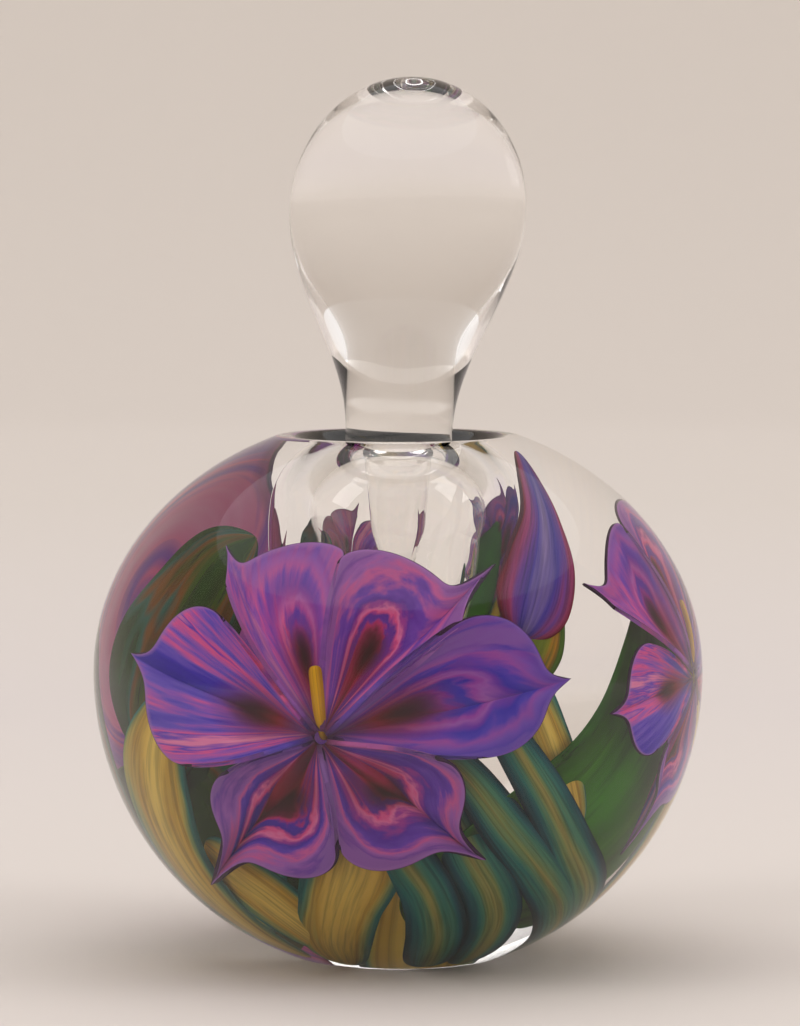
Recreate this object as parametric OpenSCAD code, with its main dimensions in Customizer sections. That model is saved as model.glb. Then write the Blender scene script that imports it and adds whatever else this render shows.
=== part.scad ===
// Solid studio-glass perfume bottle, built up in four gathers of clear glass.
// The first is blown and holds the reservoir and the ground neck. Leaves and
// stems are pressed into the second, three flowers lie in the third, and the
// fourth is the thick outer casing. The back is left clear as a window.
// A ground stopper stands in a shallow dish.
// The origin is the centre of the flat foot. +Z is up and -Y is the front.

/* [Gather] */
// Outside diameter of the ball of glass that holds the flowers
gather_d = 101; // [80:0.5:125]
// Thickness of the flower layer
petal_t = 4; // [2:0.25:6]
// Thickness of the layer of leaves under the flowers
leaf_t = 3; // [1.5:0.25:5]
// Height of the top edge of the flower gather below the dish floor
flower_gather_drop = 6; // [4:0.5:12]

/* [Casing] */
// Clear glass over the flowers at the widest place
case_t = 10.5; // [6:0.5:16]
// Clear glass under the gather
base_t = 4.5; // [3.5:0.25:10]
// Height of the widest place above the gather's centre
equator_rise = 2.4; // [0:0.2:5]
// How much further the shoulder would rise than the gather's radius
crown_t = 1; // [0:0.25:6]
// Diameter of the polished flat foot
foot_d = 40; // [25:1:50]
// Diameter across the top rim of the dish
dish_d = 44; // [36:1:54]
// Depth of the dish below its rim
dish_depth = 3.6; // [2:0.2:5]
// Radius of the rounded rim round the dish
rim_r = 2; // [1:0.25:3]

/* [Neck and reservoir] */
// Outside diameter of the neck of the first gather
neck_d = 29; // [27:0.5:33]
// Wall of the first gather round the reservoir
bubble_wall = 6; // [4:0.5:9]
// Bore diameter at the dish floor
bore_d = 14.5; // [12:0.5:16]
// Length of bore per millimetre of change in diameter
bore_taper = 10; // [8:1:20]
// Length of the ground bore before it opens into the reservoir
bore_l = 10; // [7:0.5:14]
// Widest inside diameter of the reservoir
reservoir_d = 37; // [25:0.5:46]
// Height of the reservoir's dome above its widest place
reservoir_dome_h = 14; // [9:0.5:18]
// Depth of the reservoir below its widest place
reservoir_bowl_h = 30; // [20:1:36]

/* [Stopper] */
// Height of the stopper above the dish floor
stopper_h = 75; // [55:1:95]
// Widest diameter of the stopper's bulb
bulb_d = 47.2; // [36:0.2:60]
// Height of the bulb above its widest place
bulb_top_h = 26.5; // [20:0.5:34]
// Diameter of the stopper's neck at its shoulder
stopper_neck_d = 21.4; // [19:0.2:25]
// Straight height of the stopper's neck
stopper_neck_h = 3.5; // [1:0.5:8]
// Lean of the bulb to the right, in degrees
stopper_lean = 2.8; // [0:0.2:5]
// Length of the ground taper of the plug
plug_l = 26; // [18:0.5:27]
// Length of the rounded tip below the taper
plug_tip_h = 12; // [2:0.5:14]
// Radial clearance between the plug and the bore
plug_clearance = 0.04; // [0.02:0.01:0.08]
// Gap between the stopper's shoulder and the dish floor
shoulder_gap = 0.4; // [0.3:0.1:1]

/* [Flowers] */
// Length of the longest petals of the front flower
petal_l = 38; // [28:0.5:42]
// Radius of the open throat in the middle of a flower
throat_r = 5; // [4.5:0.25:7]
// Clear glass between neighbouring petals, as an angle
petal_gap = 5; // [3:0.5:12]
// Diameter of a stamen
stamen_d = 2.6; // [1.5:0.1:3]
// Length of a stamen
stamen_l = 9.5; // [6:0.5:11]
// Upward lean of a stamen, in degrees
stamen_lean = 32; // [0:1:33]

/* [Leaves] */
// Width of a broad leaf
leaf_w = 13; // [8:0.5:14]
// Width of a stem
stem_w = 5; // [3:0.25:7]
// Width of a green ground patch
ground_w = 15; // [10:0.5:17]
// Length of a broad leaf
leaf_l = 50; // [36:1:56]

/* [Hidden] */
$fn = 120;
eps = 0.01;

gather_r = gather_d / 2;
core_r = gather_r - petal_t;
leaf_r = core_r - leaf_t;
gather_z = base_t + gather_r;

body_r = gather_r + case_t;
equator_z = gather_z + equator_rise;
crown_h = gather_r + crown_t;
foot_r = foot_d / 2;
// The lower half is an ellipse that reaches the foot's edge at z = 0.
keel_h = equator_z / sqrt(1 - pow(foot_r / body_r, 2));
dish_r = dish_d / 2;
rim_z = equator_z + crown_h * sqrt(1 - pow((dish_r + rim_r) / body_r, 2));
dish_z = rim_z - dish_depth;
neck_r = neck_d / 2;

bore_r = bore_d / 2;
bore_end_r = bore_r - bore_l / bore_taper / 2;
reservoir_r = reservoir_d / 2;
reservoir_top_z = dish_z - bore_l;
// The dome is part of an ellipse that meets the bore's lower edge.
dome_h = reservoir_dome_h / sqrt(1 - pow(bore_end_r / reservoir_r, 2));
reservoir_mid_z = reservoir_top_z - reservoir_dome_h;
bubble_r = reservoir_r + bubble_wall;
// The flower gather is a ball cut off level, so that it stays under the dish.
flower_top_z = dish_z - flower_gather_drop;

shoulder_z = dish_z + shoulder_gap;
plug_r = bore_r - plug_clearance;
plug_end_r = plug_r - plug_l / bore_taper / 2;
bulb_r = bulb_d / 2;
stopper_neck_r = stopper_neck_d / 2;
bulb_z = stopper_h + dish_z - bulb_top_h;
flare_z = shoulder_z + stopper_neck_h;

// Each flower: its name, its bearing from the front, its rise above the
// level of the gather's centre, its size against the front flower, and the
// bearings between which it keeps clear of the flowers beside it.
FLOWERS = [
    ["front", -16, -8, 1, -69.5, 39],
    ["right", 84, -1, 0.86, 41, 141],
    ["back", -138, -24, 0.85, -205, -71],
];

// Each petal: its direction from the throat and its length against the longest.
PETALS = [
    ["east", 15, 0.95],
    ["north_east", 61, 0.8],
    ["north", 103, 0.82],
    ["west", 163, 1],
    ["south_west", 240, 0.84],
    ["south_east", 315, 0.84],
];

// Each leaf, stem or bud: name, bearing, rise, length as a share of the broad
// leaf's, width as a share of a leaf's or a stem's, lean, bow, and its kind.
BLADES = [
    ["leaf_left", -70, -30, 1, 1, -14, -4, "leaf"],
    ["leaf_low_left", -46, -42, 0.8, 0.9, 20, -4, "leaf"],
    ["leaf_centre", -9, -50, 0.6, 0.8, -8, 0, "leaf"],
    ["stem_edge", 13, -48, 0.46, 0.9, 20, 0, "stem"],
    ["stem_teal", 33, -48, 0.5, 1, 30, 0, "stem"],
    ["stem_diagonal", 38, -33, 0.8, 0.9, 50, 0, "stem"],
    ["stem_right", 47, -25, 0.84, 0.9, 48, 0, "stem"],
    ["leaf_right", 40, -9, 0.28, 0.4, 32, 0, "leaf"],
    ["leaf_under_right", 97, -26, 0.9, 0.8, -6, 4, "leaf"],
    ["stem_under_right", 120, -32, 0.9, 1, 6, 3, "stem"],
    ["leaf_behind_right", 144, -36, 0.8, 0.85, -6, 4, "leaf"],
    ["leaf_behind", 178, -42, 0.7, 0.9, 6, -4, "leaf"],
    ["stem_behind", -160, -44, 0.6, 1, 10, 3, "stem"],
    ["leaf_behind_left", -132, -30, 0.95, 0.85, 8, -5, "leaf"],
    ["bud", 45, 34, 0.72, 0.6, -25, 0, "bud"],
    ["bud_calyx", 30, 6, 0.22, 0.6, -25, 0, "calyx"],
];

// Each green ground patch: name, bearing, rise, length share and lean.
GROUNDS = [
    ["ground_left", -52, 18, 0.6, 4],
    ["ground_right", 66, -2, 0.6, -8],
    ["ground_back", -154, -8, 0.36, 10],
    ["ground_back_left", -108, -8, 0.6, -8],
];

function petal_name(f, p) = str("petal_", f[0], "_", p[0]);

// ---- outlines ----

// Points on a quarter or more of an ellipse, from angle a to angle b.
function arc_points(cx, cy, rx, ry, a, b, n) =
    [for (i = [0:n]) let (t = a + (b - a) * i / n) [cx + rx * cos(t), cy + ry * sin(t)]];

// Angle from the equator at which an ellipse of half-width a has half-width x.
function ellipse_angle(x, a) = acos(x / a);

// Outside of the casing from the foot to the axis: two half ellipses, the
// rounded rim, and the dish that slopes in to the flat floor round the bore.
function casing_profile() = let (
    foot_a = ellipse_angle(foot_r, body_r),
    rim_a = ellipse_angle(dish_r + rim_r, body_r)
) concat(
    [[0, 0]],
    arc_points(0, equator_z, body_r, keel_h, -foot_a, 0, 22),
    arc_points(0, equator_z, body_r, crown_h, rim_a / 22, rim_a, 21),
    arc_points(dish_r, rim_z - rim_r, rim_r, rim_r, 70, 130, 5),
    [[neck_r + 2, dish_z], [0, dish_z]]
);

// The reservoir: a domed top and a longer, rounder bowl.
function reservoir_profile() = concat(
    arc_points(0, reservoir_mid_z, reservoir_r, reservoir_bowl_h, -90, 0, 16),
    arc_points(0, reservoir_mid_z, reservoir_r, dome_h, 8, ellipse_angle(bore_end_r, reservoir_r), 8),
    [[0, reservoir_top_z]]
);

// Outside of the first gather: a wall round the reservoir that runs up into
// the neck, which ends at the height top.
function bubble_profile(top) = let (
    neck_a = ellipse_angle(neck_r, bubble_r),
    rise = dome_h + bubble_wall
) concat(
    arc_points(0, reservoir_mid_z, bubble_r, reservoir_bowl_h + bubble_wall, -90, 0, 16),
    arc_points(0, reservoir_mid_z, bubble_r, rise, 8, neck_a, 6),
    [[neck_r, top], [0, top]]
);

// The stopper's bulb: the neck eases out to the widest place along a cosine,
// and the top is half an ellipse.
function bulb_profile() = concat(
    [[0, shoulder_z - bulb_r * sin(stopper_lean)], [stopper_neck_r, shoulder_z - bulb_r * sin(stopper_lean)]],
    [for (i = [0:18]) let (u = i / 18)
        [stopper_neck_r + (bulb_r - stopper_neck_r) * (1 - cos(180 * u)) / 2, flare_z + (bulb_z - flare_z) * u]],
    arc_points(0, bulb_z, bulb_r, bulb_top_h, 6, 90, 14)
);

// A petal seen from outside: it fans out from the throat between two spokes,
// is widest past the middle, and ends in a tip that bends sideways.
function petal_outline(l, before, after, bend) = let (n = 8) concat(
    [for (i = [0:n]) petal_point(i / n, l, -before, bend)],
    [for (i = [n - 1:-1:0]) petal_point(i / n, l, after, bend)]
);

// Share u runs from the throat (0) to the tip (1). The spokes hold their
// angle for the first part, and then close in to the tip.
function petal_point(u, l, half, bend) = let (
    r = throat_r + (l - throat_r) * u,
    a = half * pow(1 - pow(u, 3), 0.6) + bend * u * u
) [r * cos(a), r * sin(a)];

// Both edges of a blade: a spindle that is bowed sideways.
function blade_outline(l, w, bow, blunt) = let (n = 9) concat(
    [for (i = [0:n]) blade_point(i / n, l, w / 2, bow, blunt)],
    [for (i = [n:-1:0]) blade_point(i / n, l, -w / 2, bow, blunt)]
);

function blade_point(u, l, half, bow, blunt) =
    [half * (blunt + (1 - blunt) * pow(sin(180 * u), 0.8)) + bow * sin(180 * u), l * (u - 0.5)];

function blade_colour(kind) =
    kind == "leaf" ? [0.72, 0.52, 0.16] :
    kind == "stem" ? [0.13, 0.47, 0.45] :
    kind == "bud" ? [0.42, 0.3, 0.62] : [0.4, 0.55, 0.15];

// Angle from a petal to its neighbour on one side, less the clear gap.
function half_before(i) = let (d = PETALS[i][1] - PETALS[(i + 5) % 6][1]) ((d + 360) % 360 - petal_gap) / 2;
function half_after(i) = half_before((i + 1) % 6);

// ---- shared shapes ----

// A ball about the gather's centre.
module ball(r) {
    translate([0, 0, gather_z]) sphere(r = r);
}

// Turns +Z to point out of the gather at a bearing and a rise, with +Y up.
module facing(bearing, rise) {
    translate([0, 0, gather_z]) rotate([90 - rise, 0, bearing]) children();
}

// The upright wedge of the gather between two bearings.
module sector(from, to) {
    far = 2 * gather_d;
    linear_extrude(height = gather_z + gather_d)
        polygon([[0, 0], [far * sin(from), -far * cos(from)], [far * sin(to), -far * cos(to)]]);
}

// The column of glass that a petal is cut from, kept inside its flower's wedge.
module petal_column(f, i) {
    l = petal_l * PETALS[i][2] * f[3];
    intersection() {
        facing(f[1], f[2])
            rotate([0, 0, PETALS[i][1]])
                linear_extrude(height = gather_r + eps)
                    polygon(petal_outline(l, half_before(i), half_after(i), 8));
        sector(f[4], f[5]);
    }
}

// The column of glass that a leaf, stem or ground patch is cut from.
module blade_column(bearing, rise, l, w, lean, bow, blunt) {
    facing(bearing, rise)
        rotate([0, 0, lean])
            linear_extrude(height = gather_r)
                polygon(blade_outline(l, w, bow, blunt));
}

module leaf_column(b) {
    is_stem = b[7] == "stem";
    w = b[4] * (is_stem ? stem_w : leaf_w);
    blade_column(b[1], b[2], leaf_l * b[3], w, b[5], b[6], is_stem ? 0.6 : 0.12);
}

module ground_column(g) {
    blade_column(g[1], g[2], leaf_l * g[3], ground_w, g[4], 0, 0.35);
}

// A stamen's rod stands on the inner gather in the open throat.
module stamen_rod(f) {
    facing(f[1], f[2])
        translate([0, 0, core_r])
            rotate([-stamen_lean, 0, 0])
                translate([0, 0, -stamen_d])
                    cylinder(d = stamen_d, h = stamen_l + stamen_d, $fn = 32);
}

// ---- the pieces ----

module bubble_gather() {
    color([0.93, 0.96, 0.97, 0.35])
    difference() {
        rotate_extrude() polygon(bubble_profile(dish_z));
        rotate_extrude() polygon(reservoir_profile());
        translate([0, 0, reservoir_top_z - eps])
            cylinder(r1 = bore_end_r, r2 = bore_r, h = bore_l + 2 * eps);
    }
}

module leaf_gather() {
    color([0.93, 0.96, 0.97, 0.3])
    difference() {
        ball(core_r);
        rotate_extrude() polygon(bubble_profile(gather_z + gather_r));
        difference() {
            union() {
                for (b = BLADES) leaf_column(b);
                for (g = GROUNDS) ground_column(g);
            }
            ball(leaf_r);
        }
    }
}

// The ball of the flower gather, cut off level at its top.
module flower_ball() {
    difference() {
        ball(gather_r);
        translate([0, 0, flower_top_z]) cylinder(r = gather_d, h = gather_d);
    }
}

module flower_gather() {
    color([0.92, 0.96, 0.98, 0.25])
    difference() {
        flower_ball();
        ball(core_r);
        for (f = FLOWERS) for (i = [0:5]) petal_column(f, i);
        for (f = FLOWERS) stamen_rod(f);
    }
}

module clear_casing() {
    color([0.9, 0.95, 0.98, 0.18])
    difference() {
        rotate_extrude() polygon(casing_profile());
        ball(core_r);
        flower_ball();
        translate([0, 0, gather_z]) cylinder(r = neck_r, h = dish_z - gather_z + 1);
        for (f = FLOWERS) stamen_rod(f);
    }
}

module petal(f, i) {
    color(i % 2 == 0 ? [0.62, 0.2, 0.42] : [0.32, 0.3, 0.62])
    intersection() {
        difference() {
            flower_ball();
            ball(core_r);
        }
        petal_column(f, i);
    }
}

module stamen(f) {
    color([0.85, 0.6, 0.15])
    difference() {
        stamen_rod(f);
        ball(core_r);
    }
}

module blade(b) {
    color(blade_colour(b[7]))
    intersection() {
        difference() {
            ball(core_r);
            ball(leaf_r);
        }
        leaf_column(b);
    }
}

module ground(g) {
    color([0.1, 0.3, 0.16, 0.8])
    intersection() {
        difference() {
            ball(core_r);
            ball(leaf_r);
        }
        ground_column(g);
    }
}

module stopper_head() {
    color([0.88, 0.93, 0.96, 0.35])
    intersection() {
        translate([0, 0, shoulder_z])
            rotate([0, stopper_lean, 0])
                translate([0, 0, -shoulder_z])
                    rotate_extrude() polygon(bulb_profile());
        translate([-body_r, -body_r, shoulder_z]) cube([2 * body_r, 2 * body_r, 2 * stopper_h]);
    }
}

module stopper_plug() {
    tip_z = shoulder_z - shoulder_gap - plug_l;
    color([0.85, 0.88, 0.9, 0.5])
    rotate_extrude()
        polygon(concat(
            arc_points(0, tip_z, plug_end_r, plug_tip_h, -90, 0, 8),
            [[plug_r, dish_z], [plug_r, shoulder_z], [0, shoulder_z]]
        ));
}

bubble_gather();
leaf_gather();
flower_gather();
for (b = BLADES) blade(b);
for (g = GROUNDS) ground(g);
for (f = FLOWERS) for (i = [0:5]) petal(f, i);
for (f = FLOWERS) stamen(f);
stopper_head();
stopper_plug();
clear_casing();
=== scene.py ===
# %% [markdown]
# # A studio-glass perfume bottle
# The bottle is one thick lump of clear glass. A blown bubble in the middle holds the
# perfume, and glass flowers, leaves and stems float between that bubble and the outside.
# The model starts from the measured parts of the bottle, so that every new piece takes
# its place from them and nothing is fitted by eye.

# %% Load the measured parts
import math

import bpy
import numpy as np
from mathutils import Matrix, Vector


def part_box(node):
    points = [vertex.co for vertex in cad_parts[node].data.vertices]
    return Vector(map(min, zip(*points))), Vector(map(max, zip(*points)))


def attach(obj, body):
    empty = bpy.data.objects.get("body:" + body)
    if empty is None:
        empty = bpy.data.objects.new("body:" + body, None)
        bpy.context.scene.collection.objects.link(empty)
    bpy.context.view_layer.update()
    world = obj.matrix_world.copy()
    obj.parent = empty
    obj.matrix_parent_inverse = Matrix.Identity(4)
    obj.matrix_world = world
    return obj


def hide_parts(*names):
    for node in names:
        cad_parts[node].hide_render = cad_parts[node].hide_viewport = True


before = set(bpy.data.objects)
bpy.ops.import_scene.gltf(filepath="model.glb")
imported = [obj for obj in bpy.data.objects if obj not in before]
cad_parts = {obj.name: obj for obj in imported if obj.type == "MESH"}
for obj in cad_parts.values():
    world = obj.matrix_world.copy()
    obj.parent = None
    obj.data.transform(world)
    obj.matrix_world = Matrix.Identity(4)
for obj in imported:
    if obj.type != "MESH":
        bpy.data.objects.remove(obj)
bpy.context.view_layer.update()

MM = 0.001

# %% [markdown]
# ## Sizes
# The gather is the ball of hot glass that the flowers are laid on. Its centre and radius
# are read from the boxes of the measured parts, and the rest of the bottle is placed from
# them: the widest ring, the rim of the dish at the top, and the floor of the dish in which
# the stopper stands. The petals lie in a layer just outside the ball, and the widest ring
# is a little above its centre.

# %% Sizes read from the measured parts
PETAL_LAYER = 3.5 * MM
EQUATOR_RISE = 2.4 * MM
core_low, core_high = (np.array(c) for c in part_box("leaf_gather"))
neck_low, neck_high = (np.array(c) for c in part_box("bubble_gather"))
case_low, case_high = (np.array(c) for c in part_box("clear_casing"))
plug_low, plug_high = (np.array(c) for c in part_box("stopper_plug"))
head_low, head_high = (np.array(c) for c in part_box("stopper_head"))

CORE_R = (core_high[0] - core_low[0]) / 2
LAYER_R = CORE_R + PETAL_LAYER
CENTRE = np.array([0.0, 0.0, core_low[2] + CORE_R])
BODY_R = (case_high[0] - case_low[0]) / 2
EQUATOR_Z = CENTRE[2] + EQUATOR_RISE
RIM_Z = case_high[2]
DISH_Z = neck_high[2]
SHOULDER_Z = head_low[2]
STOPPER_TOP = head_high[2]
print(f"gather radius {CORE_R / MM:.1f} mm, body radius {BODY_R / MM:.1f} mm")
print(f"rim at {RIM_Z / MM:.1f} mm, dish floor at {DISH_Z / MM:.1f} mm")

# %% [markdown]
# ## Helpers for shapes
# Every new piece is a surface: a grid of points that two numbers, u and v, run over. The
# grid is worked out as one whole array, and neighbouring points become four-sided faces.
# A grid can close on itself, as round a bottle, and its ends can close to a point.

# %% Turn a grid of points into a mesh object
ALL_PIECES = []


def piece_from_grid(name, grid, material, closed=False, poles=(False, False), **attributes):
    """Points grid[i, j] become quads between neighbours. closed joins the last column to the
    first. A pole is a row whose points all lie at one place, and is merged to one point."""
    rows, columns = grid.shape[:2]
    index = np.arange(rows * columns).reshape(rows, columns)
    for row, is_pole in zip((0, -1), poles):
        if is_pole:
            index[row] = index[row, 0]
    right = np.roll(index, -1, axis=1) if closed else index[:, 1:]
    left = index if closed else index[:, :-1]
    quads = np.stack([left[:-1], right[:-1], right[1:], left[1:]], axis=-1).reshape(-1, 4)
    if poles[0]:
        quads[: left.shape[1], 1] = quads[: left.shape[1], 0]
    used, flat = np.unique(quads, return_inverse=True)
    faces = [list(dict.fromkeys(q)) for q in flat.reshape(-1, 4).tolist()]
    mesh = bpy.data.meshes.new(name)
    mesh.from_pydata(grid.reshape(-1, 3)[used].tolist(), [], faces)
    for key, values in attributes.items():
        layer = mesh.attributes.new(key, "FLOAT_VECTOR", "POINT")
        layer.data.foreach_set("vector", values.reshape(-1, 3)[used].astype(np.float32).ravel())
    mesh.shade_smooth()
    made = bpy.data.objects.new(name, mesh)
    mesh.materials.append(material)
    bpy.context.scene.collection.objects.link(made)
    ALL_PIECES.append(made)
    return made


def revolve(profile, turns):
    """A profile of (radius, height) pairs is carried round the upright axis."""
    angle = np.linspace(0, 2 * np.pi, turns, endpoint=False)
    radius, height = profile[:, 0, None], profile[:, 1, None]
    return np.stack([radius * np.cos(angle), radius * np.sin(angle), height + 0 * angle], axis=-1)


def arc(centre, radii, start, end, count):
    """Points on an ellipse about a centre, between two angles in degrees."""
    t = np.radians(np.linspace(start, end, count))
    return np.stack([centre[0] + radii[0] * np.cos(t), centre[1] + radii[1] * np.sin(t)], axis=-1)


def even(profile, count):
    """The same polyline, resampled to points that lie evenly along its length."""
    step = np.linalg.norm(np.diff(profile, axis=0), axis=1)
    along = np.concatenate([[0], np.cumsum(step)])
    where = np.linspace(0, along[-1], count)
    return np.stack([np.interp(where, along, profile[:, k]) for k in range(2)], axis=-1)


# %% [markdown]
# ## Helpers for finishes
# Colours are given as the sRGB hex values that a designer would pick, and one function
# turns them into the linear numbers that the renderer works in. One more function adds a
# shader node, with its settings and whatever feeds it. The short ones after it add the
# kinds that the finishes use most, and hand back the output that matters.

# %% Colour and node helpers
def colour(code):
    """An sRGB hex value as linear red, green, blue and alpha."""
    srgb = np.array([int(code[i:i + 2], 16) for i in (1, 3, 5)]) / 255
    linear = np.where(srgb <= 0.04045, srgb / 12.92, ((srgb + 0.055) / 1.055) ** 2.4)
    return (*linear.tolist(), 1.0)


def add(tree, kind, feeds=None, **settings):
    """Adds a node. settings are its options, and feeds its inputs, each a value or another
    node's output."""
    made = tree.nodes.new(kind)
    for name, value in settings.items():
        setattr(made, name, value)
    for place, value in (feeds or {}).items():
        if isinstance(value, bpy.types.NodeSocket):
            tree.links.new(value, made.inputs[place])
        else:
            made.inputs[place].default_value = value
    return made


def material(name):
    """An empty material, with its node tree and its output node."""
    made = bpy.data.materials.new(name)
    made.use_nodes = True
    made.node_tree.nodes.clear()
    return made, made.node_tree, made.node_tree.nodes.new("ShaderNodeOutputMaterial")


def attribute(tree, name):
    """A vector that every point of a piece carries."""
    return add(tree, "ShaderNodeAttribute", attribute_name=name).outputs["Vector"]


def noise(tree, where, scale, detail, roughness=0.5):
    """Soft noise between 0 and 1."""
    feeds = {"Vector": where, "Scale": scale, "Detail": detail, "Roughness": roughness}
    return add(tree, "ShaderNodeTexNoise", feeds).outputs["Fac"]


def calc(tree, operation, *values):
    """One step of arithmetic on numbers."""
    return add(tree, "ShaderNodeMath", dict(enumerate(values)), operation=operation).outputs[0]


def span(tree, value, low, high, bottom=0.0, top=1.0):
    """Stretches the values between low and high over bottom to top."""
    feeds = {"Value": value, "From Min": low, "From Max": high, "To Min": bottom, "To Max": top}
    return add(tree, "ShaderNodeMapRange", feeds).outputs[0]


def ramp(tree, value, stops):
    """A colour picked from (place, colour) stops. A new ramp has two ends, and takes the
    stops between them afterwards."""
    made = add(tree, "ShaderNodeValToRGB", {"Fac": value})
    first, last = made.color_ramp.elements
    first.color, last.color = colour(stops[0][1]), colour(stops[-1][1])
    for place, code in stops[1:-1]:
        made.color_ramp.elements.new(place).color = colour(code)
    return made.outputs[0]


def mix(tree, share, under, over, blend_type="MIX"):
    """A share of one colour laid over another."""
    feeds = {0: share, 6: under, 7: over}
    return add(tree, "ShaderNodeMix", feeds, data_type="RGBA", blend_type=blend_type).outputs[2]


# %% [markdown]
# ## Clear crystal
# The casing, the gather and the stopper are one kind of glass: a lead-free crystal,
# gathered hot and fire polished, so it has no roughness at all. Thick glass of this kind is
# not quite colourless. It is given a refractive index of 1.5 and a trace of warmth.

# %% Clear crystal material
def clear_crystal():
    """Fire-polished crystal, with the finest waves left by the flame."""
    made, tree, out = material("clear_crystal")
    where = add(tree, "ShaderNodeTexCoord").outputs["Object"]
    wave = noise(tree, where, 40.0, 1.0)
    bump = add(tree, "ShaderNodeBump", {"Height": wave, "Strength": 0.012, "Distance": 1.5 * MM})
    glass = add(tree, "ShaderNodeBsdfPrincipled", {
        "Base Color": colour("#FFFEFC"), "Roughness": 0.0, "IOR": 1.5,
        "Transmission Weight": 1.0, "Normal": bump.outputs["Normal"]})
    tree.links.new(glass.outputs[0], out.inputs["Surface"])
    return made


CRYSTAL = clear_crystal()

# %% [markdown]
# ## The bottle's glass
# Hot glass fuses without a seam, so the gather and the casing are drawn as one clear body.
# They could be nested shells, but every inner skin would then show as a bright line.
# Its outline runs from the middle of the foot up the outside, over the rim, down the dish
# and the ground bore, and round the inside of the reservoir. Turning that outline gives a
# closed wall. The reservoir was blown, so it is a little out of round.

# %% Outline of the bottle
FOOT_R = 20 * MM
FOOT_EDGE = 1.2 * MM
DISH_R = 22 * MM
LIP_R = 2 * MM
CROWN_H = 51.5 * MM
BORE_R = 7.25 * MM
BORE_END_R = 6.75 * MM
BORE_L = 10 * MM
BORE_EDGE = 0.5 * MM
RESERVOIR_R = 18.5 * MM
DOME_H = 14 * MM
BOWL_H = 30 * MM
RESERVOIR_Z = DISH_Z - BORE_L - DOME_H
TURNS = 256
OUTSIDE_STEPS, INSIDE_STEPS = 230, 130

keel_h = EQUATOR_Z / math.sqrt(1 - (FOOT_R / BODY_R) ** 2)
foot_angle = math.degrees(math.acos(FOOT_R / BODY_R))
rim_angle = math.degrees(math.acos((DISH_R + LIP_R) / BODY_R))
dome_end = math.degrees(math.acos(BORE_END_R / RESERVOIR_R))
dome_rise = DOME_H / math.sin(math.radians(dome_end))

outside = np.concatenate([
    [[0, 0], [FOOT_R - FOOT_EDGE, 0]],
    arc((0, EQUATOR_Z), (BODY_R, keel_h), -foot_angle + 1.5, 0, 90),
    arc((0, EQUATOR_Z), (BODY_R, CROWN_H), 1, rim_angle, 80),
    arc((DISH_R, RIM_Z - LIP_R), (LIP_R, LIP_R), 70, 128, 12),
    [[17.5 * MM, DISH_Z + 0.7 * MM], [15.5 * MM, DISH_Z + 0.1 * MM], [14 * MM, DISH_Z]],
    arc((BORE_R + BORE_EDGE, DISH_Z - BORE_EDGE), (BORE_EDGE, BORE_EDGE), 90, 180, 5),
])
inside = np.concatenate([
    [[BORE_END_R, DISH_Z - BORE_L]],
    arc((0, RESERVOIR_Z), (RESERVOIR_R, dome_rise), dome_end - 3, 3, 40),
    arc((0, RESERVOIR_Z), (RESERVOIR_R, BOWL_H), 0, -90, 70),
])
profile = np.concatenate([even(outside, OUTSIDE_STEPS), even(inside, INSIDE_STEPS)])
profile[[0, -1], 0] = 0
wall = revolve(profile, TURNS)

turn = np.linspace(0, 2 * np.pi, TURNS, endpoint=False)
on_inside = np.arange(len(profile)) > OUTSIDE_STEPS
in_bubble = np.clip((RESERVOIR_Z + DOME_H * 0.8 - profile[:, 1]) / DOME_H, 0, 1) * on_inside
wobble = 0.005 * np.cos(2 * turn + 0.6) + 0.002 * np.cos(3 * turn - 1.1)
wall[:, :, :2] *= (1 + in_bubble[:, None] * wobble)[:, :, None]

bottle = piece_from_grid("bottle_glass", wall, CRYSTAL, closed=True, poles=(True, True))
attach(bottle, "bottle")
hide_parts("bubble_gather", "leaf_gather", "flower_gather", "clear_casing")
print(f"bottle glass: {len(bottle.data.polygons)} faces")

# %% [markdown]
# ## The stopper
# The stopper is gathered solid, shaped while soft, and ground below its shoulder to the
# same taper as the bore. The plug ends in a long rounded tip, which hangs in the perfume.
# Head and plug are one lump, so one turned outline serves both. The bulb leans, because it
# was shaped by hand. Its outline eases from the neck to the bulb along a cosine, and the
# lean grows with height above the shoulder.

# %% Outline of the stopper
NECK_R = 10.7 * MM
BULB_R = 23.6 * MM
BULB_CAP = 26.5 * MM
LEAN = math.radians(2.8)
NECK_H = 3.5 * MM
NECK_EDGE = 0.5 * MM
PLUG_TIP_H = 12 * MM
PLUG_NARROWING = 1.3 * MM
bulb_z = STOPPER_TOP - BULB_CAP
flare_z = SHOULDER_Z + NECK_H
plug_tip_z = plug_low[2] + PLUG_TIP_H
plug_top_r = (plug_high[0] - plug_low[0]) / 2
plug_end_r = plug_top_r - PLUG_NARROWING
ease = np.linspace(0, 1, 70)
flare = np.stack([NECK_R + (BULB_R - NECK_R) * (1 - np.cos(np.pi * ease)) / 2,
                  flare_z + (bulb_z - flare_z) * ease], axis=-1)
stopper_profile = np.concatenate([
    even(arc((0, plug_tip_z), (plug_end_r, PLUG_TIP_H), -90, 0, 24), 24),
    even(np.array([[plug_end_r, plug_tip_z + 0.2 * MM], [plug_top_r, SHOULDER_Z]]), 30),
    even(np.array([[plug_top_r + 0.2 * MM, SHOULDER_Z], [NECK_R - 0.6 * MM, SHOULDER_Z]]), 6),
    arc((NECK_R - NECK_EDGE, SHOULDER_Z + NECK_EDGE), (NECK_EDGE, NECK_EDGE), -90, 0, 6),
    even(np.concatenate([flare, arc((0, bulb_z), (BULB_R, BULB_CAP), 1, 90, 80)]), 150),
])
stopper_profile[[0, -1], 0] = 0
stopper_wall = revolve(stopper_profile, 192)
above = np.clip(stopper_wall[:, :, 2] - SHOULDER_Z, 0, None)
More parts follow.
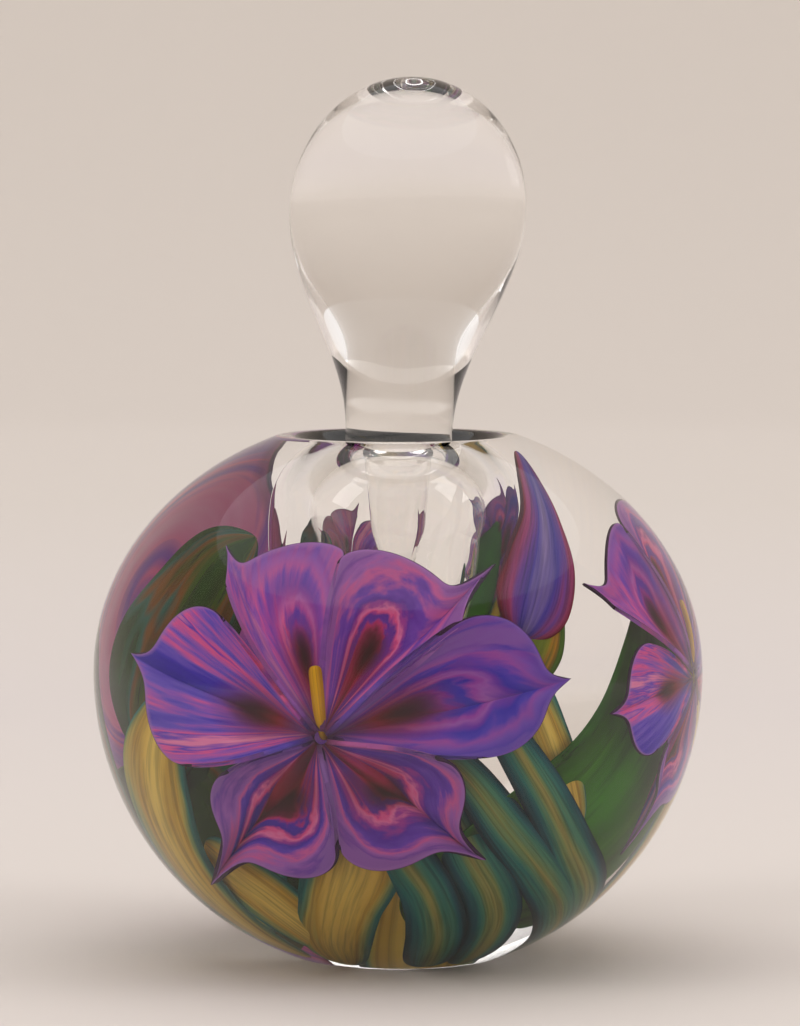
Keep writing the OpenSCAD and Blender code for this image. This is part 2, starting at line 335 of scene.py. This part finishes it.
stopper_wall[:, :, 0] += above * math.tan(LEAN) * (1 - 0.25 * above / above.max())

stopper = piece_from_grid("stopper_glass", stopper_wall, CRYSTAL, closed=True, poles=(True, True))
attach(stopper, "stopper")
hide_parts("stopper_head", "stopper_plug")
stopper_low, stopper_high = stopper_profile[:, 1].min(), stopper_profile[:, 1].max()
print(f"stopper: {stopper_low / MM:.1f} to {stopper_high / MM:.1f} mm high")

# %% [markdown]
# ## Where a flower lies
# A flower lies on the ball of the gather. Its own flat map has the throat at the middle,
# distances in millimetres along the surface and angles turned from its right-hand side, as
# on a chart of the world centred on one town. The next function bends that chart round the
# ball and takes the depth under the surface too.

# %% Bend a flat chart round the gather
def towards(bearing, rise):
    """Unit vectors from the gather's centre at a bearing from the front and a rise above level."""
    b, e = np.radians(bearing), np.radians(rise)
    return np.stack([np.sin(b) * np.cos(e), -np.cos(b) * np.cos(e), np.sin(e) + 0 * b], axis=-1)


def on_gather(bearing, rise, along, angle, depth):
    """A point at a distance and angle on a flat chart centred on (bearing, rise), pushed
    towards the middle of the ball by depth. The chart keeps distances from its centre."""
    out = towards(bearing, rise)
    right = towards(bearing + 90, 0)
    up = np.cross(out, right)
    swing = along / LAYER_R
    sideways = np.cos(angle)[..., None] * right + np.sin(angle)[..., None] * up
    direction = np.cos(swing)[..., None] * out + np.sin(swing)[..., None] * sideways
    return CENTRE + (LAYER_R - depth)[..., None] * direction


# %% [markdown]
# ## Petal glass
# Each petal was a bead of pink, crimson and blue glass laid in layers and then pushed in
# with a point. The push folds the layers into long horseshoes that open towards the
# throat, so the pattern follows the petal and not the bottle. Every point of a petal
# therefore carries its own loop number, from 0 in the pocket to 1 at the edge, and a flow
# that says where it lies across and along the stripes. Some petals were combed outwards
# instead and have rays. Coloured glass inside clear glass has no gloss of its own.

# %% Petal material
LOOP_COLOURS = [
    (0.0, "#240A14"), (0.13, "#5E1230"), (0.22, "#C22A6A"), (0.29, "#3A24A8"), (0.37, "#2C1C9C"),
    (0.44, "#E2508E"), (0.5, "#EA7CB2"), (0.57, "#A0349A"), (0.65, "#3020A8"), (0.74, "#5A3EC0"),
    (0.82, "#D866AC"), (0.89, "#A468C4"), (0.96, "#7048B0"), (1.0, "#8E64B8")]
WINE_COLOURS = [
    (0.0, "#1E0A12"), (0.16, "#4E1020"), (0.28, "#7E2430"), (0.36, "#3A1428"), (0.48, "#8E3A34"),
    (0.56, "#4A1C38"), (0.66, "#5E3070"), (0.76, "#38162C"), (0.88, "#7A2E40"), (1.0, "#4A2440")]
RAY_COLOURS = [
    (0.0, "#1E16A0"), (0.26, "#3626BC"), (0.4, "#6A52CC"), (0.5, "#B45CC0"), (0.57, "#EC5E9E"),
    (0.64, "#5A3CC4"), (0.74, "#EE84B6"), (0.86, "#F2A0C8"), (1.0, "#F4B4D6")]


def petal_glass(name, loop_colours, margin):
    """Feathered opaque glass. loop holds the loop number, how much of the petal is rays and
    how pink it is. flow holds the place across and along the stripes. cup holds the depth of
    the pocket, the nearness to the edge and the nearness to the throat. Noise moves the loop
    number about, and seven more colours are then laid over the stripes, each where its own
    measure says: the margin, more pink, more blue, a thin dark line of painted shade along
    the edge, the crimson wedge, near-black painted shade in the pit of the pocket, and a deep
    wine painted shade at the throat."""
    made, tree, out = material(name)
    loop, flow, cup = (attribute(tree, n) for n in ("loop", "flow", "cup"))
    number, fan, pinkness = add(tree, "ShaderNodeSeparateXYZ", {"Vector": loop}).outputs
    hollow, edge, near = add(tree, "ShaderNodeSeparateXYZ", {"Vector": cup}).outputs
    sway = calc(tree, "MULTIPLY_ADD", noise(tree, flow, 0.55, 1.0), 0.75, -0.375)
    hair = calc(tree, "MULTIPLY_ADD", noise(tree, flow, 3.1, 3.0, 0.55), 0.3, -0.15)
    moved = calc(tree, "ADD", sway, hair)
    loops = ramp(tree, calc(tree, "ADD", number, moved), loop_colours)
    rays = ramp(tree, calc(tree, "MULTIPLY_ADD", moved, 1.9, 0.5), RAY_COLOURS)
    body = mix(tree, fan, loops, rays)
    for share, code in (
            (span(tree, edge, 0.8, 1.0), margin),
            (span(tree, pinkness, 0.0, 1.0, top=0.4), "#D85A98"),
            (span(tree, pinkness, 0.0, -1.0, top=0.75), "#3324B0"),
            # painted shade: a thin dark line along the edge, where the rim curves away
            (span(tree, edge, 0.965, 1.0), "#3E1E44"),
            (span(tree, calc(tree, "MULTIPLY", hollow, near), 0.26, 0.7), "#84121E"),
            # painted shade: near-black in the deepest part of the pocket
            (span(tree, hollow, 0.84, 1.0, top=0.9), "#26080E"),
            # painted shade: a deep wine darkening where the petals meet at the throat
            (span(tree, near, 0.8, 1.0, top=0.85), "#4A1024")):
        body = mix(tree, share, body, colour(code))
    glass = add(tree, "ShaderNodeBsdfPrincipled", {
        "Base Color": body, "Roughness": 0.9, "Specular IOR Level": 0.0})
    tree.links.new(glass.outputs[0], out.inputs["Surface"])
    return made


PETAL_GLASS = petal_glass("feathered_glass", LOOP_COLOURS, "#A878C6")
WINE_GLASS = petal_glass("feathered_wine_glass", WINE_COLOURS, "#6A3450")

# %% [markdown]
# ## Petals
# A petal fans out from the throat between two spokes. u runs along a spoke, from the throat
# to the petal's edge, and v runs across from one spoke to the other. The edge is a rounded
# arch with one drawn-out tip. The middle is pushed in to a pocket, deepest a little short
# of half-way. A petal could be cut from a bent sheet, but spokes let the stripes, the pocket
# and the edge all be worked out from u and v.

# %% Shape of one petal
ROWS, COLUMNS = 72, 97
PETAL_WALL = 0.9 * MM
THROAT_R = 1.2 * MM


def petal(name, finish, place, size, shape, seed):
    """edge(v) = side + (end - side) * arch, with arch = sqrt(1 - |v|^2.4), raised to the tip's
    length by a narrow peak at tip_v. depth = dip * (1 - v^2)^0.9 * sin(pi * u^bend)^1.2, and
    one side lifts a little to lie over its neighbour. The loop number is |v| up to the
    pocket, and past it the distance from the pocket's end, so that loops run out along both
    spokes and turn round in the petal's end."""
    aim, half, side, end, tip, tip_v, dip, pocket, fan, pink = shape
    u = np.linspace(0, 1, ROWS)[:, None]
    v = np.sin(np.linspace(-np.pi / 2, np.pi / 2, COLUMNS))[None, :]
    arch = np.sqrt(np.clip(1 - np.abs(v) ** 2.4, 0, None))
    edge = side + (end - side) * arch
    peak = np.exp(-np.abs((v - tip_v) / 0.085) ** 1.25)
    plain_edge = side + (end - side) * math.sqrt(1 - abs(tip_v) ** 2.4)
    edge = edge + (tip - plain_edge) * peak
    along = THROAT_R + (edge * size * MM - THROAT_R) * u
    swell = 1.04 + 0.1 * np.sin(np.pi * u) + 0.1 * (1 - u) ** 3
    angle = np.radians(aim + half * v * swell)
    bend = math.log(0.5) / math.log(pocket)
    hollow = (1 - v ** 2) ** 0.9 * np.sin(np.pi * u ** bend) ** 1.2
    lift = 0.8 * MM * (v > 0) * np.abs(v) ** 6
    depth = dip * size * MM * hollow - lift
    grid = on_gather(*place, along, angle + 0 * u, depth)
    past = np.clip((u - pocket) / (1 - pocket), 0, None)
    number = np.sqrt(v ** 2 + past ** 2 * (1 - 0.6 * v ** 2))
    around = np.arctan2(v, past + 0.02)
    own = seed * 7.3 + 0 * number
    outward = np.cos(around) * 0.8 - u * 0.25
    swirl = np.stack([number * 3.4, outward, np.sin(around) * 0.9 + own], axis=-1)
    rays = np.stack([v * 4.2 + 0 * u, u * 0.7 + 0 * v, own], axis=-1)
    flow = swirl * (1 - fan) + rays * fan
    loop = np.stack([number, np.full_like(number, fan), np.full_like(number, pink)], axis=-1)
    nearness = np.maximum(np.abs(v) ** 3 * (0.4 + 0.6 * u), u ** 7)
    # cup also places the painted shade: along the edge, in the pit of the pocket and at the throat
    cup = np.stack([hollow, nearness, 1 - u + 0 * v], axis=-1)
    made = piece_from_grid(name, grid, finish, flow=flow, loop=loop, cup=cup)
    shell = made.modifiers.new("wall", "SOLIDIFY")
    shell.thickness, shell.offset = PETAL_WALL, -1
    return made


# %% [markdown]
# ## Flowers
# Three flowers go round the gather, and the back is left clear as a window. The front one
# is the largest and is known petal by petal: where it aims, how wide it opens, how long
# its sides, its end and its tip are, and how its stripes run. The others repeat the same
# six kinds, turned and drawn smaller.

# %% Lay out the flowers
# aim, half angle, side, end, tip (mm), place of the tip, depth (mm), place of the pocket,
# share of rays, pinkness
PETALS = {
    "east": (16, 25, 26, 43, 48, -0.2, 6, 0.34, 0.3, -0.6),
    "north_east": (63, 24, 31, 36, 46, -0.7, 7, 0.46, 0.0, 0.4),
    "north": (108, 21, 33, 36, 42, 0.8, 5.5, 0.4, 0.5, 0.3),
    "west": (166, 29, 27, 40, 47, 0.0, 5.5, 0.34, 1.0, 0.05),
    "south_west": (238, 36, 19, 31, 48, -0.22, 7, 0.5, 0.0, 0.15),
    "south_east": (312, 37, 20, 30, 40, 0.12, 7, 0.5, 0.0, 0.3),
}
# bearing, rise, size, turn, and how much pinker it is than the front flower
FLOWERS = {
    "front": (-16, -5, 1.0, 0, 0.0),
    "right": (84, 2, 0.9, 20, 0.1),
    "back": (-138, -22, 0.86, -6, 0.6),
}
# petals drawn shorter than their kind
SHORTER = {"right_west": 0.74, "right_south_west": 0.8, "back_east": 0.72, "back_south_east": 0.75}

for f, (flower, (bearing, rise, size, twist, pinker)) in enumerate(FLOWERS.items()):
    finish = WINE_GLASS if flower == "back" else PETAL_GLASS
    for p, (direction, shape) in enumerate(PETALS.items()):
        turned = (shape[0] + twist, *shape[1:9], shape[9] + pinker)
        drawn = size * SHORTER.get(f"{flower}_{direction}", 1.0)
        name = f"glass_petal_{flower}_{direction}"
        made = petal(name, finish, (bearing, rise), drawn, turned, f * len(PETALS) + p)
        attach(made, "bottle")
        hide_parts(f"petal_{flower}_{direction}")
print("petals:", sum(o.name.startswith("glass_petal") for o in ALL_PIECES))

# %% [markdown]
# ## Streaked leaf glass
# The leaves and stems were pulled from a rod of ochre glass wrapped in teal, so the ochre
# runs down the middle and the teal shows along the edges. Pulling draws every colour out
# into lines that run the whole length of a strip. A painted stripe would slide off a bent
# leaf, so every point carries its place across the strip, its place along it in
# millimetres, and a number of its own that gives each strip different streaks.

# %% Leaf and stem material
def leaf_glass(name, streaks, bands, clear=0.0):
    """Pulled glass: colour bands by the distance from the middle of the strip, moved about
    by long streaks, and darkened by finer lines. clear is the share of light let through."""
    made, tree, out = material(name)
    flow = attribute(tree, "flow")
    drawn = add(tree, "ShaderNodeMapping", {"Vector": flow, "Scale": (2.6, 0.035, 1.0)}).outputs[0]
    thin = add(tree, "ShaderNodeMapping", {"Vector": flow, "Scale": (9.0, 0.05, 3.0)}).outputs[0]
    across = add(tree, "ShaderNodeSeparateXYZ", {"Vector": flow}).outputs["X"]
    side = calc(tree, "ABSOLUTE", across)
    moved = calc(tree, "MULTIPLY_ADD", noise(tree, drawn, 1.0, 2.0), streaks, side)
    band = ramp(tree, calc(tree, "SUBTRACT", moved, streaks / 2), bands)
    line = span(tree, noise(tree, thin, 1.0, 3.0, 0.65), 0.36, 0.56, 0.62, 1.0)
    body = add(tree, "ShaderNodeBsdfPrincipled", {
        "Base Color": mix(tree, 1.0, band, line, "MULTIPLY"), "Roughness": 0.9,
        "Specular IOR Level": 0.0, "Alpha": 1.0 - clear})
    tree.links.new(body.outputs[0], out.inputs["Surface"])
    return made


LEAF_GLASS = leaf_glass("ochre_leaf_glass", 0.9, [
    (0.0, "#EACB62"), (0.3, "#E0BC54"), (0.5, "#C8A03E"), (0.68, "#B8A850"), (0.82, "#6A8A5C"),
    (0.92, "#2F7068"), (1.0, "#1E5A54")])
STEM_GLASS = leaf_glass("teal_stem_glass", 0.7, [
    (0.0, "#9A9450"), (0.18, "#7C9054"), (0.36, "#4C8668"), (0.58, "#2A7068"), (0.8, "#155058"),
    (1.0, "#0D3038")])
GROUND_GLASS = leaf_glass("green_ground_glass", 0.8, [
    (0.0, "#3E8A1C"), (0.35, "#357414"), (0.58, "#43861A"), (0.9, "#2C5A12"), (1.0, "#2A6A10")], 0.1)
VEIL_GLASS = leaf_glass("olive_veil_glass", 1.5, [
    (0.0, "#24480F"), (0.35, "#3E5214"), (0.52, "#7A4A16"), (0.62, "#2F5F50"), (0.8, "#22440F"),
    (1.0, "#1A380E")], 0.1)
BUD_GLASS = leaf_glass("violet_bud_glass", 1.0, [
    (0.0, "#8E78B4"), (0.25, "#4A3AA0"), (0.5, "#6A3C96"), (0.72, "#A8407A"), (0.9, "#8A1E34"),
    (1.0, "#501428")])
CALYX_GLASS = leaf_glass("green_calyx_glass", 1.2, [
    (0.0, "#5C7A1E"), (0.3, "#8C8A22"), (0.5, "#B07A1C"), (0.7, "#4E7020"), (1.0, "#3E5A14")])
STAMEN_GLASS = leaf_glass("ochre_stamen_glass", 0.3, [
    (0.0, "#F2B90E"), (1.0, "#C98A0A")])

# %% [markdown]
# ## Pulled strips
# A leaf, a stem or a stamen is a strip of glass laid along a path. The path is a smooth
# curve through a few points, each given as a bearing, a rise, a depth under the flower
# layer and half the strip's width there. Its section is an ellipse that lies flat on the
# gather and closes to a point at both ends. A bevelled curve would do the same, but would
# not carry its own length for the streaks.

# %% Carry a section along a path
def smooth(points, count):
    """A Catmull-Rom curve through the points, sampled evenly in its own parameter."""
    points = np.asarray(points, dtype=float)
    padded = np.concatenate([2 * points[:1] - points[1:2], points, 2 * points[-1:] - points[-2:-1]])
    t = np.linspace(0, len(points) - 1, count)
    k = np.minimum(t.astype(int), len(points) - 2)
    f = (t - k)[:, None]
    a, b, c, d = (padded[k + j] for j in range(4))
    bend, twist = 2 * a - 5 * b + 4 * c - d, 3 * b - a - 3 * c + d
    return 0.5 * (2 * b + (c - a) * f + bend * f ** 2 + twist * f ** 3)


def strip(name, finish, stops, thick, seed, round_end=4.0):
    """stops are (bearing, rise, depth, half width). The section at each step is
    half width * cos(phi) sideways and thick * sin(phi) outwards, times a rounding that
    closes both ends."""
    stops = np.asarray(stops, dtype=float)
    count = 150
    ray = smooth(towards(stops[:, 0], stops[:, 1]), count)
    ray /= np.linalg.norm(ray, axis=1)[:, None]
    depth, half = smooth(stops[:, 2:], count).T * MM
    centre = CENTRE + ray * (LAYER_R - depth)[:, None]
    heading = np.gradient(centre, axis=0)
    heading /= np.linalg.norm(heading, axis=1)[:, None]
    side = np.cross(ray, heading)
    u = np.linspace(0, 1, count)
    closing = np.clip(1 - np.abs(2 * u - 1) ** (2 * round_end), 0, None) ** 0.5
    phi = np.linspace(0, 2 * np.pi, 36, endpoint=False)
    wide = (half * closing)[:, None] * np.cos(phi)
    high = (thick * MM * closing)[:, None] * np.sin(phi)
    grid = centre[:, None] + side[:, None] * wide[..., None] + ray[:, None] * high[..., None]
    length = np.concatenate([[0], np.cumsum(np.linalg.norm(np.diff(centre, axis=0), axis=1))]) / MM
    flat = 0 * wide
    flow = np.stack([np.cos(phi) + flat, length[:, None] + flat, seed * 3.1 + flat], axis=-1)
    return piece_from_grid(name, grid, finish, closed=True, poles=(True, True), flow=flow)


# %% [markdown]
# ## Leaves, stems and green ground
# All the stems rise from the middle of the foot and fan out under the flowers. The green
# ground is thin see-through glass that lies deeper than the leaves, behind the gaps.

# %% Lay the leaves, stems, bud and ground
LEAVES = {
    "leaf_left": [
        (-59, 4, 8, 3), (-63, -6, 5.5, 7), (-68, -18, 4.5, 10.5), (-72, -31, 4, 10.5),
        (-75, -44, 4, 9.5), (-77, -57, 4.5, 6.5), (-80, -72, 5, 4)],
    "leaf_low_left": [
        (-62, -34, 7, 5), (-54, -41, 5.5, 7.5), (-46, -48, 4.5, 8.5), (-40, -58, 4, 7.5),
        (-38, -72, 4.5, 5)],
    "leaf_centre": [
        (-10, -24, 10, 7), (-12, -36, 5.5, 9), (-20, -50, 4, 7.5), (-32, -64, 4, 6.5),
        (-60, -78, 4.5, 4)],
    "leaf_right": [
        (28, 10, 9, 2), (32, 3, 7.5, 4), (37, -7, 7, 4), (43, -18, 7, 4), (52, -32, 7, 4)],
    "leaf_under_right": [
        (100, 4, 9, 2), (99, -8, 5, 6), (96, -22, 4.5, 8), (95, -38, 4, 7.5), (98, -54, 4.5, 5.5),
        (104, -68, 5, 3)],
    "leaf_behind_right": [
        (146, -20, 9, 2), (145, -26, 5, 6), (142, -35, 4, 8), (140, -46, 4, 7.5),
        (140, -58, 4.5, 5), (142, -70, 5, 3)],
    "leaf_behind": [
        (178, -28, 9, 4), (177, -36, 5, 7.5), (174, -48, 4, 7.5), (166, -62, 4, 5.5),
        (150, -76, 5, 3)],
    "leaf_behind_left": [
        (-128, -16, 10, 5), (-128, -20, 7, 9), (-128, -28, 6, 10), (-127, -40, 5, 8.5),
        (-130, -56, 4.5, 6), (-138, -70, 5, 3)],
}
STEMS = {
    "stem_edge": [
        (-4, -22, 10, 4.5), (1, -34, 6, 5.2), (9, -45, 4, 5), (16, -59, 3.6, 5.4), (32, -80, 4, 5)],
    "stem_teal": [
        (12, -22, 10, 4.4), (19, -34, 6, 5), (29, -45, 4, 5.2), (39, -57, 3.6, 5.2), (66, -76, 4, 5)],
    "stem_diagonal": [
        (6, -6, 10, 3), (16, -15, 6.5, 3.8), (27, -27, 4.6, 4.4), (41, -38, 4, 4.8),
        (64, -50, 4, 5), (92, -60, 4.6, 4.4), (130, -70, 5, 3.5)],
    "stem_right": [
        (20, 4, 8, 2.6), (26, -7, 5, 3.6), (36, -20, 4, 4.4), (49, -33, 4, 4.8), (72, -46, 4, 5),
        (100, -56, 4.6, 4.4), (130, -64, 5, 3)],
    "stem_under_right": [
        (118, -6, 9, 2.6), (119, -18, 5, 3.4), (121, -32, 4, 3.8), (122, -46, 4, 3.8),
        (128, -62, 5, 2.6)],
    "stem_behind": [
        (-160, -22, 10, 2.6), (-161, -30, 6, 3.2), (-160, -42, 4, 3.8), (-152, -56, 4, 3.4),
        (-130, -70, 5, 2.4)],
}
GROUNDS = {
    "ground_left": [
        (-46, 38, 7.5, 4), (-52, 30, 7, 11), (-57, 18, 7, 14), (-62, 6, 7.5, 17), (-68, -6, 8, 17),
        (-74, -18, 8, 12)],
    "ground_right": [
        (82, 27, 6, 3), (79, 14, 6, 10), (72, -1, 6, 16), (66, -13, 6.5, 18), (58, -25, 7.5, 19),
        (45, -37, 8, 19), (28, -50, 8, 16), (8, -64, 8, 10)],
    "ground_back": [
        (-150, -12, 6, 6), (-151, -18, 6, 12), (-152, -26, 6, 14), (-152, -38, 6, 8)],
    "ground_back_left": [
        (-112, 8, 6, 4), (-110, 0, 6, 10), (-107, -12, 6, 12), (-104, -24, 6, 10),
        (-102, -36, 6.5, 5)],
}
# the patches of ground that are olive instead of green
VEILS = ("ground_left", "ground_back", "ground_back_left")
BUD = [
    (29, 15, 5, 5), (33, 22, 3.4, 7.5), (38, 31, 2, 7), (44, 41, 1.4, 4.2), (52, 52, 1.4, 2.2),
    (66, 61, 2, 0.7)]
CALYX = [
    (24, 2, 8, 2.5), (28, 7, 6.5, 5), (32, 14, 5.5, 6.5), (36, 21, 5.5, 5), (38, 27, 5, 2)]

# strips, their glass, their slot, and half their thickness in millimetres
KINDS = (
    (LEAVES, LEAF_GLASS, "leaf", 1.1),
    (STEMS, STEM_GLASS, "stem", 1.9),
    (GROUNDS, GROUND_GLASS, "green_ground", 0.4))
BUD_SEED = 11
laid = [(node, stops, VEIL_GLASS if node in VEILS else finish, slot, thick, k + 1)
        for strips, finish, slot, thick in KINDS for k, (node, stops) in enumerate(strips.items())]
laid += [("bud", BUD, BUD_GLASS, "petal_blue", 2.2, BUD_SEED),
         ("bud_calyx", CALYX, CALYX_GLASS, "calyx", 1.6, BUD_SEED)]
for node, stops, finish, slot, thick, seed in laid:
    made = strip(f"glass_{node}", finish, stops, thick, seed)
    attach(made, "bottle")
    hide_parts(node)

for k, (flower, (bearing, rise, *_)) in enumerate(FLOWERS.items()):
    stops = [(bearing, rise - 1, 3, 1.0), (bearing, rise + 4, -0.4, 1.15),
             (bearing - 0.3, rise + 9, -1.6, 1.25), (bearing - 1, rise + 14.5, -2, 1.25)]
    made = strip(f"glass_stamen_{flower}", STAMEN_GLASS, stops, 1.2, k, 9.0)
    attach(made, "bottle")
    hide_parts(f"stamen_{flower}")
print("pieces so far:", len(ALL_PIECES))

# %% [markdown]
# ## Stage, light and camera
# The stage is a wide pale bowl: a flat floor that curves up into a wall all round. A paper
# sheet behind the bottle would be simpler, but clear glass shows what lies on every side.
# The bowl's sizes are in metres. A long lens looks a few degrees down.

# %% Stage, light and camera
FLOOR_R = 1.8
CURVE_R = 1.9
WALL_TOP = 3.3


def stage_bowl():
    """A flat floor that turns up into a wall along a quarter circle. The paper's colour carries
    painted shade near the bottle and painted light further out, which evens out the light."""
    outline = np.concatenate([
        [[0, 0], [0.3, 0], [FLOOR_R, 0]],
        arc((FLOOR_R, CURVE_R), (CURVE_R, CURVE_R), -88, 0, 60),
        [[FLOOR_R + CURVE_R, WALL_TOP]]])
    made, tree, out = material("stage_paper")
    where = add(tree, "ShaderNodeTexCoord").outputs["Object"]
    place = add(tree, "ShaderNodeSeparateXYZ", {"Vector": where})
    flat = add(tree, "ShaderNodeCombineXYZ", {"X": place.outputs["X"], "Y": place.outputs["Y"]})
    reach = add(tree, "ShaderNodeVectorMath", {0: flat.outputs[0]}, operation="LENGTH")
    # painted shade near the bottle and painted light further out, set by distance from the middle
    painted_shading = ramp(tree, span(tree, reach.outputs["Value"], 0.0, 3.0), [
        (0.0, "#CBC4BE"), (0.15, "#C9C2BF"), (0.4, "#D2CBC5"), (0.56, "#DAD3CD"), (1.0, "#DBD4CD")])
    paper = add(tree, "ShaderNodeBsdfPrincipled", {
        "Base Color": painted_shading, "Roughness": 0.9, "Specular IOR Level": 0.1})
    tree.links.new(paper.outputs[0], out.inputs["Surface"])
    grid = revolve(outline, 96)[:, ::-1]
    bowl = piece_from_grid("stage_bowl", grid, made, closed=True, poles=(True, False))
    ALL_PIECES.remove(bowl)


stage_bowl()


def softbox(name, place, aim, width, height, watts):
    """A large rectangular lamp at a place, facing the point aim. It lights the bottle but
    leaves no square reflection on it."""
    lamp = bpy.data.lights.new(name, "AREA")
    lamp.shape, lamp.size, lamp.size_y, lamp.energy = "RECTANGLE", width, height, watts
    made = bpy.data.objects.new(name, lamp)
    made.location = place
    made.visible_glossy = False
    way = made.location - Vector(aim)
    made.rotation_euler = way.to_track_quat("Z", "Y").to_euler()
    bpy.context.scene.collection.objects.link(made)


softbox("top_softbox", (0.0, 0.1, 2.2), (0, 0, 0), 2.4, 2.4, 22)
softbox("left_softbox", (-1.5, -0.6, 0.9), (0, 0, 0.08), 0.7, 1.2, 8)
softbox("right_softbox", (1.5, -0.4, 0.9), (0, 0, 0.08), 0.7, 1.2, 8)

world = bpy.data.worlds.new("studio")
world.use_nodes = True
world.node_tree.nodes["Background"].inputs["Color"].default_value = colour("#F4F0EE")
world.node_tree.nodes["Background"].inputs["Strength"].default_value = 1.06
bpy.context.scene.world = world
bpy.context.scene.view_settings.view_transform = "Standard"
bpy.context.scene.cycles.use_denoising = True

CAMERA_RISE = math.radians(4.5)
CAMERA_FAR = 1.0
CAMERA_AIM = (0.0004, 0.08907)
FIELD_HEIGHT = 0.2052
SENSOR = 36
camera_data = bpy.data.cameras.new("camera")
camera = bpy.data.objects.new("camera", camera_data)
bpy.context.scene.collection.objects.link(camera)
camera_data.sensor_width = SENSOR
camera_data.lens = SENSOR * CAMERA_FAR / FIELD_HEIGHT
camera.location = (CAMERA_AIM[0], -CAMERA_FAR * math.cos(CAMERA_RISE),
                   CAMERA_AIM[1] + CAMERA_FAR * math.sin(CAMERA_RISE))
camera.rotation_euler = (math.pi / 2 - CAMERA_RISE, 0, 0)
camera_data.clip_end = 20
bpy.context.scene.camera = camera
